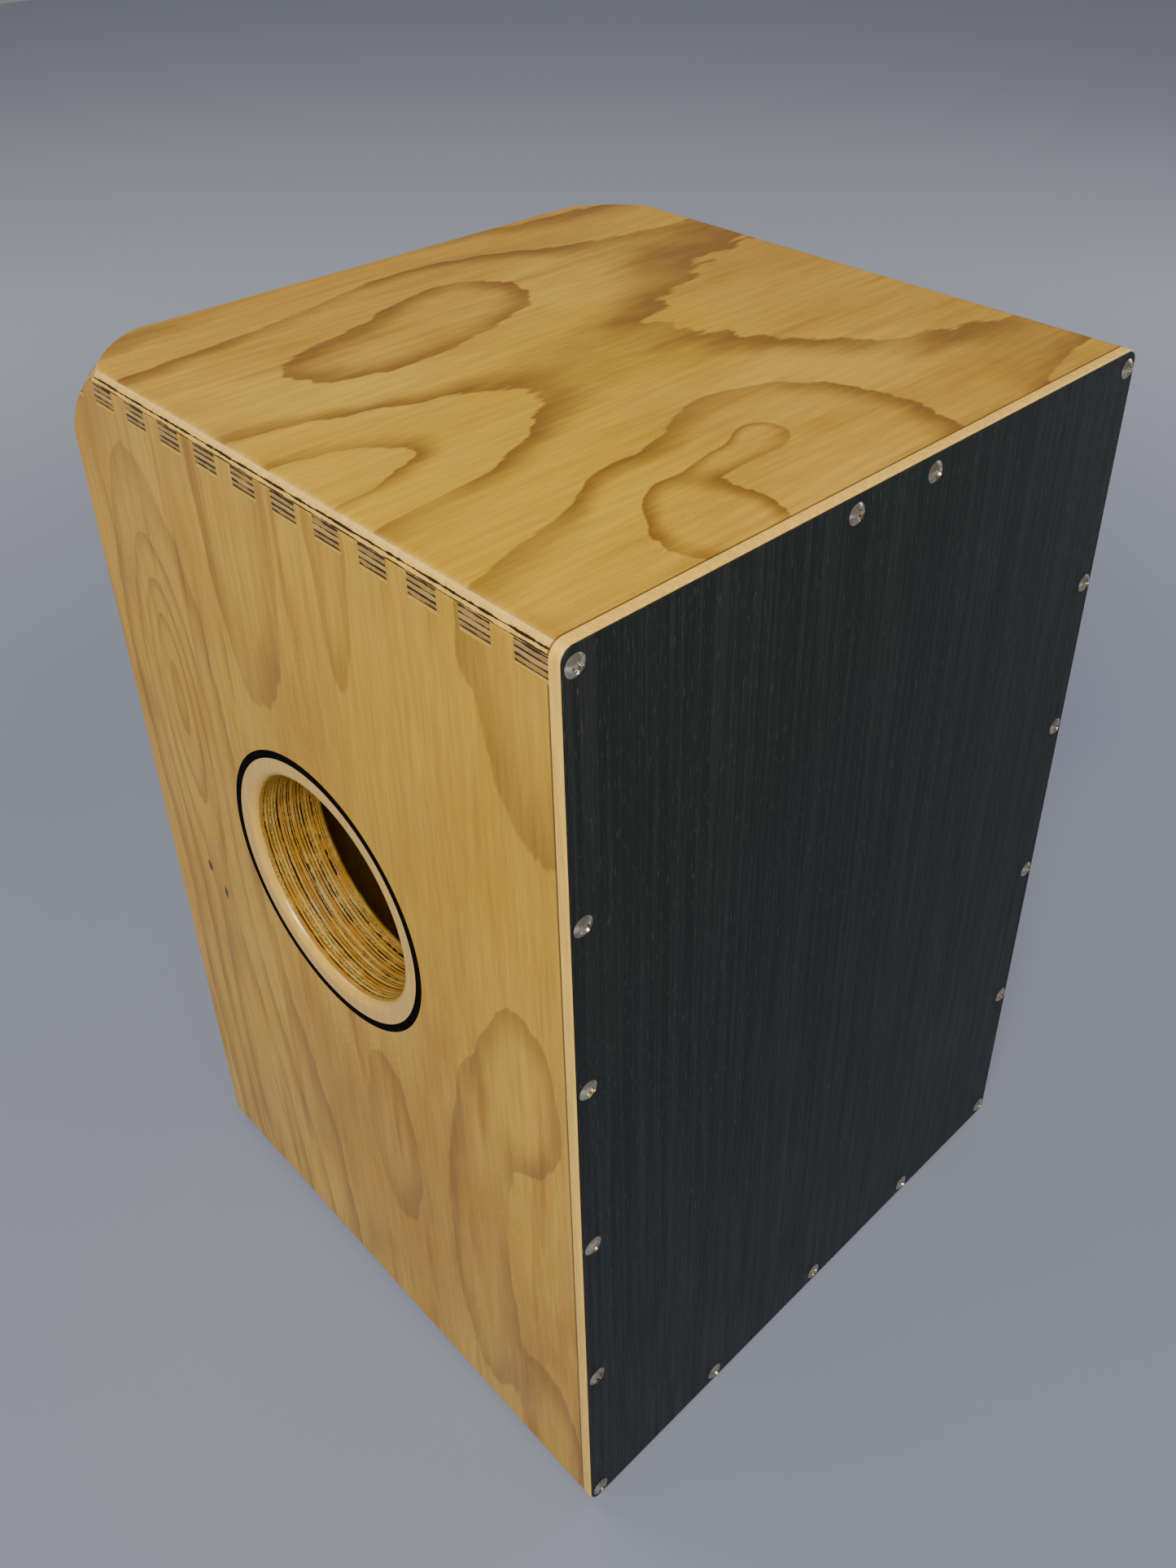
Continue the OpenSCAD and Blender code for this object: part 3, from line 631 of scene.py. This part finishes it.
def rubber():
    material, w, shader = new_material("foot_rubber")
    grit = w.noise(plain_place(w), 1.4, 3.0)
    w.put(shader.inputs["Base Color"], w.mix(grit, (0.012, 0.012, 0.013, 1), (0.035, 0.034, 0.033, 1)))
    w.put(shader.inputs["Roughness"], w.ramp(grit, 0.3, 0.7, 0.6, 0.8))
    bump(w, shader, grit, 0.1 * MM, 0.5)
    return material


def cream_button():
    material, w, shader = new_material("cream_button")
    swirl = w.noise(w.stretch(plain_place(w), 4, 4, 10), 1.0, 3.0, 0.6)
    color = w.mix(w.ramp(swirl, 0.35, 0.65), (0.72, 0.66, 0.52, 1), (0.82, 0.79, 0.70, 1))
    w.put(shader.inputs["Base Color"], color)
    w.put(shader.inputs["Roughness"], w.ramp(swirl, 0.3, 0.7, 0.16, 0.28))
    return material


materials["beech"] = sanded_hardwood()
materials["zinc"] = metal(
    "zinc_plate", (0.66, 0.59, 0.45, 1), worn=(0.26, 0.22, 0.15, 1), roughness=0.16, brush=(1.2, 1.2, 6))
materials["nickel"] = metal(
    "nickel_plate", (0.66, 0.64, 0.60, 1), worn=(0.52, 0.50, 0.46, 1), roughness=0.22, brush=(1, 1, 5))
materials["wire"] = metal(
    "string_wire", (0.55, 0.53, 0.49, 1), worn=(0.40, 0.36, 0.30, 1), roughness=0.28, brush=(1, 1, 3.5))
materials["brass"] = metal(
    "turned_brass", (0.78, 0.56, 0.24, 1), worn=(0.52, 0.34, 0.13, 1), roughness=0.22, brush=(1, 6, 1))
materials["rubber"] = rubber()
materials["button"] = cream_button()


NODE_LOOKS = {
    "seat_sheet": "seat", "left_side": "left", "right_side": "right", "back_panel": "back",
    "bottom_panel": "base", "top_panel": "fingers", "port_ring": "ring", "port_inlay": "black_inlay",
    "port_backing_front": "port", "port_backing_rear": "port", "tapa_core": "board_edge",
    "tapa_face": "black_face", "tapa_screws": "zinc", "foot_screws": "zinc", "hitch_screws": "zinc",
    "tuner_screws": "zinc", "string_beam": "beech", "string_rail": "beech", "ball_ends": "brass",
}
SIDE_LOOKS = {
    "gear_screw": "zinc", "string": "wire", "string_winding": "wire", "tuner_plate": "nickel",
    "tuner_post": "nickel", "tuner_worm": "nickel", "tuner_gear": "brass", "tuner_key": "button",
    "top_fillet": "blocks", "bottom_fillet": "blocks", "back_fillet": "blocks",
    "corner_block": "blocks", "beam_cleat": "blocks",
}


def look_of(node):
    if node in NODE_LOOKS:
        return NODE_LOOKS[node]
    if node.startswith("foot_"):
        return "rubber"
    return SIDE_LOOKS[node.rsplit("_", 1)[0]]


def dress_nodes():
    for name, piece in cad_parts.items():
        piece.data.materials.clear()
        piece.data.materials.append(materials[look_of(name)])


dress_nodes()


# ---- the striking board: a plywood core with a black stained face ----

def add_piece(name, bm, material, body):
    """Finishes a mesh as a piece that rides on a body."""
    bmesh.ops.recalc_face_normals(bm, faces=bm.faces)
    mesh = bpy.data.meshes.new(name)
    bm.to_mesh(mesh)
    bm.free()
    mesh.shade_smooth()
    mesh.set_sharp_from_angle(angle=math.radians(40))
    mesh.materials.append(material)
    piece = bpy.data.objects.new(name, mesh)
    bpy.context.scene.collection.objects.link(piece)
    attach(piece, body)
    return piece


def bevel(bm, edges, width, segments):
    bmesh.ops.bevel(bm, geom=edges, offset=width, offset_type="OFFSET", affect="EDGES",
                    segments=segments, profile=0.5, material=-1)


def board_layer(name, low, high, corner, arris, material):
    """A flat layer of the board with round corners and a softened front arris."""
    bm = bmesh.new()
    bmesh.ops.create_cube(bm, size=1)
    bmesh.ops.scale(bm, vec=high - low, verts=bm.verts)
    bmesh.ops.translate(bm, vec=(low + high) / 2, verts=bm.verts)
    deep = [e for e in bm.edges if abs((e.verts[0].co - e.verts[1].co).normalized().y) > 0.9]
    bevel(bm, deep, corner, 14)
    rim = [e for e in bm.edges if all(abs(v.co.y - low.y) < 1e-6 for v in e.verts)]
    bevel(bm, rim, arris, 3)
    return add_piece(name, bm, material, "box")


def striking_board():
    core = board_layer("board_core", core_low, core_high, EDGE_R, CORE_ARRIS,
                       materials["board_edge"])
    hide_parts("tapa_core")
    inset = Vector((FACE_INSET, 0, FACE_INSET))
    face = board_layer("board_face", face_low + inset, face_high - inset, EDGE_R - FACE_INSET,
                       FACE_ARRIS, materials["black_face"])
    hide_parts("tapa_face")


striking_board()


# ---- the black inlay round the port: a flat ring whose outer rim laps over the side ----

def black_inlay():
    inlay_low, inlay_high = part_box("port_inlay")
    centre_y = (ring_low.y + ring_high.y) / 2
    centre_z = (ring_low.z + ring_high.z) / 2
    inner = (ring_high.y - ring_low.y) / 2
    flush = (inlay_high.y - inlay_low.y) / 2
    outer = flush + INLAY_LAP
    x_front = inlay_low.x - INLAY_PROUD
    section = [(x_front, inner), (x_front, outer), (inlay_low.x + INLAY_PROUD, outer),
               (inlay_high.x, flush), (inlay_high.x, inner)]
    bm = bmesh.new()
    verts = [bm.verts.new((x, centre_y + radius, centre_z)) for x, radius in section]
    edges = [bm.edges.new((verts[i - 1], verts[i])) for i in range(len(verts))]
    bmesh.ops.spin(bm, geom=verts + edges, cent=(0, centre_y, centre_z), axis=(1, 0, 0), dvec=(0, 0, 0),
                   angle=2 * math.pi, steps=180, use_merge=True, use_duplicate=False)
    bmesh.ops.remove_doubles(bm, verts=bm.verts, dist=1e-6)
    ring = add_piece("black_inlay", bm, materials["black_inlay"], "box")
    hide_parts("port_inlay")


black_inlay()


# ---- floor, light and camera ----

def floor():
    """A plain cloth with painted shade: darker near the box and paler far away from it."""
    mesh = bpy.data.meshes.new("floor")
    bm = bmesh.new()
    bmesh.ops.create_grid(bm, x_segments=1, y_segments=1, size=FLOOR_REACH)
    bm.to_mesh(mesh)
    bm.free()
    piece = bpy.data.objects.new("floor", mesh)
    bpy.context.scene.collection.objects.link(piece)
    material, w, shader = new_material("floor_cloth")
    place = plain_place(w)
    near = w.mix(w.noise(place, 0.002), (0.240, 0.262, 0.345, 1), (0.275, 0.298, 0.385, 1))
    # painted shade: the cloth is darker near the box and fades to paler cloth far from it
    far = w.ramp(w.vector("LENGTH", place), 500, 1700)
    w.put(shader.inputs["Base Color"], w.mix(far, near, (0.52, 0.54, 0.63, 1)))
    shader.inputs["Roughness"].default_value = 0.85
    shader.inputs["Specular IOR Level"].default_value = 0.15
    mesh.materials.append(material)


def area_light(name, place, aim, side, watts, color):
    """A square lamp that points at its aim."""
    data = bpy.data.lights.new(name, "AREA")
    data.shape = "SQUARE"
    data.size = side
    data.energy = watts
    data.color = color
    lamp = bpy.data.objects.new(name, data)
    lamp.location = place
    lamp.rotation_euler = (Vector(aim) - Vector(place)).to_track_quat("-Z", "Y").to_euler()
    bpy.context.scene.collection.objects.link(lamp)


def studio():
    area_light("key", place=(-1.35, -1.2, 1.95), aim=(0, 0, 0.3), side=1.2, watts=58,
               color=(1.0, 0.96, 0.90))
    area_light("rear", place=(-0.7, 1.7, 2.1), aim=(0, 0, 0.3), side=1.4, watts=15,
               color=(1.0, 0.97, 0.93))
    area_light("fill", place=(2.0, -0.6, 1.1), aim=(0, 0, 0.25), side=1.2, watts=9,
               color=(0.92, 0.95, 1.0))
    area_light("spark", place=(-1.25, -1.05, 1.7), aim=(0, 0, 0.4), side=0.14, watts=8,
               color=(1.0, 0.98, 0.95))
    world = bpy.data.worlds.new("studio")
    bpy.context.scene.world = world
    world.use_nodes = True
    background = world.node_tree.nodes["Background"]
    background.inputs["Color"].default_value = (0.86, 0.88, 0.92, 1)
    background.inputs["Strength"].default_value = 0.24


def camera():
    """Three-quarter view from above the left front edge."""
    data = bpy.data.cameras.new("camera")
    data.sensor_fit = "VERTICAL"
    data.sensor_height = 36
    data.lens = 32.35
    data.shift_x = -0.0303
    data.shift_y = -0.0907
    data.clip_start = 0.01
    eye = bpy.data.objects.new("camera", data)
    azimuth, elevation, roll = (math.radians(angle) for angle in (-44.36, 33.52, -0.11))
    eye.location = (-0.3732, -0.4038, 0.7034)
    turn = Euler((math.pi / 2 - elevation, 0, azimuth)).to_matrix() @ Matrix.Rotation(roll, 3, "Z")
    eye.rotation_euler = turn.to_euler()
    bpy.context.scene.collection.objects.link(eye)
    bpy.context.scene.camera = eye


floor()
studio()
camera()
